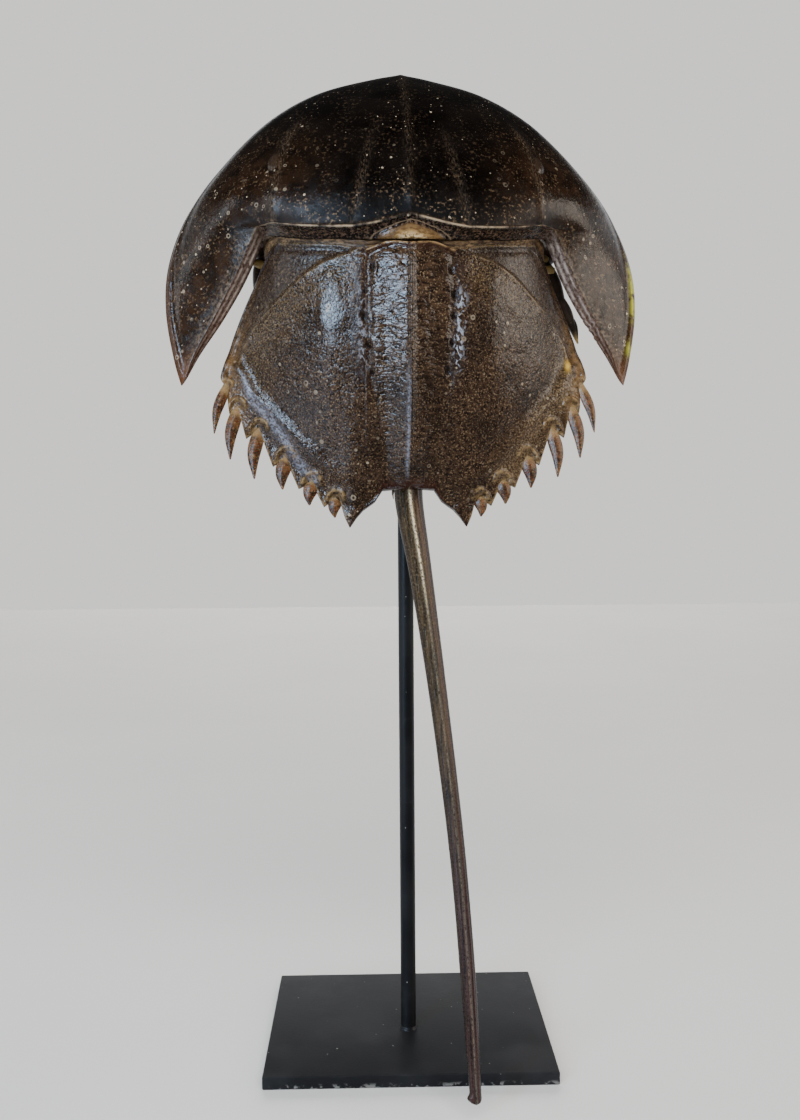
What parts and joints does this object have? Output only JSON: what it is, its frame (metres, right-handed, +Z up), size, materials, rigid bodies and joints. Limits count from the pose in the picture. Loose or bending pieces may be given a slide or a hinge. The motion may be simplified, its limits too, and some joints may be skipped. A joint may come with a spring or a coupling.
{
  "type": "horseshoe crab specimen on a stand",
  "caption": "Dried, lacquered horseshoe crab seen from its back, head up, with a toothed rear shell and a long tail spine, on a black rod and a flat base plate.",
  "frame": {"origin": "middle of the base plate's underside", "axes": "+Z up along the rod towards the crab's head, -Y towards the viewer of the crab's back, +X to the viewer's right"},
  "size_m": [0.1818, 0.1108, 0.3843],
  "materials": {
    "black_paint": "satin black paint",
    "front_shell": "glossy lacquer over near-black brown shell",
    "rear_shell": "glossy lacquer over wrinkled brown shell",
    "hinge_skin": "lacquered golden skin",
    "tail_spine": "lacquered bronze-brown shell",
    "side_spine": "lacquered amber-brown shell",
    "limb": "dried dark limb",
    "gill_cover": "dried pale brown flap"
  },
  "bodies": {
    "root": {"base_plate": "black_paint", "stand_rod": "black_paint", "front_shell": "front_shell", "rear_shell": "rear_shell", "hinge_skin": "hinge_skin", "tail_spine": "tail_spine", "side_spine_left_1": "side_spine", "side_spine_left_2": "side_spine", "side_spine_left_3": "side_spine", "side_spine_left_4": "side_spine", "side_spine_left_5": "side_spine", "side_spine_left_6": "side_spine", "side_spine_right_1": "side_spine", "side_spine_right_2": "side_spine", "side_spine_right_3": "side_spine", "side_spine_right_4": "side_spine", "side_spine_right_5": "side_spine", "side_spine_right_6": "side_spine", "leg_left_1": "limb", "leg_left_2": "limb", "leg_left_3": "limb", "leg_left_4": "limb", "leg_left_5": "limb", "leg_right_1": "limb", "leg_right_2": "limb", "leg_right_3": "limb", "leg_right_4": "limb", "leg_right_5": "limb", "mouth_claw_left": "limb", "mouth_claw_right": "limb", "gill_cover_1": "gill_cover", "gill_cover_2": "gill_cover", "gill_cover_3": "gill_cover", "gill_cover_4": "gill_cover", "gill_cover_5": "gill_cover", "gill_cover_6": "gill_cover"}
  },
  "joints": []
}
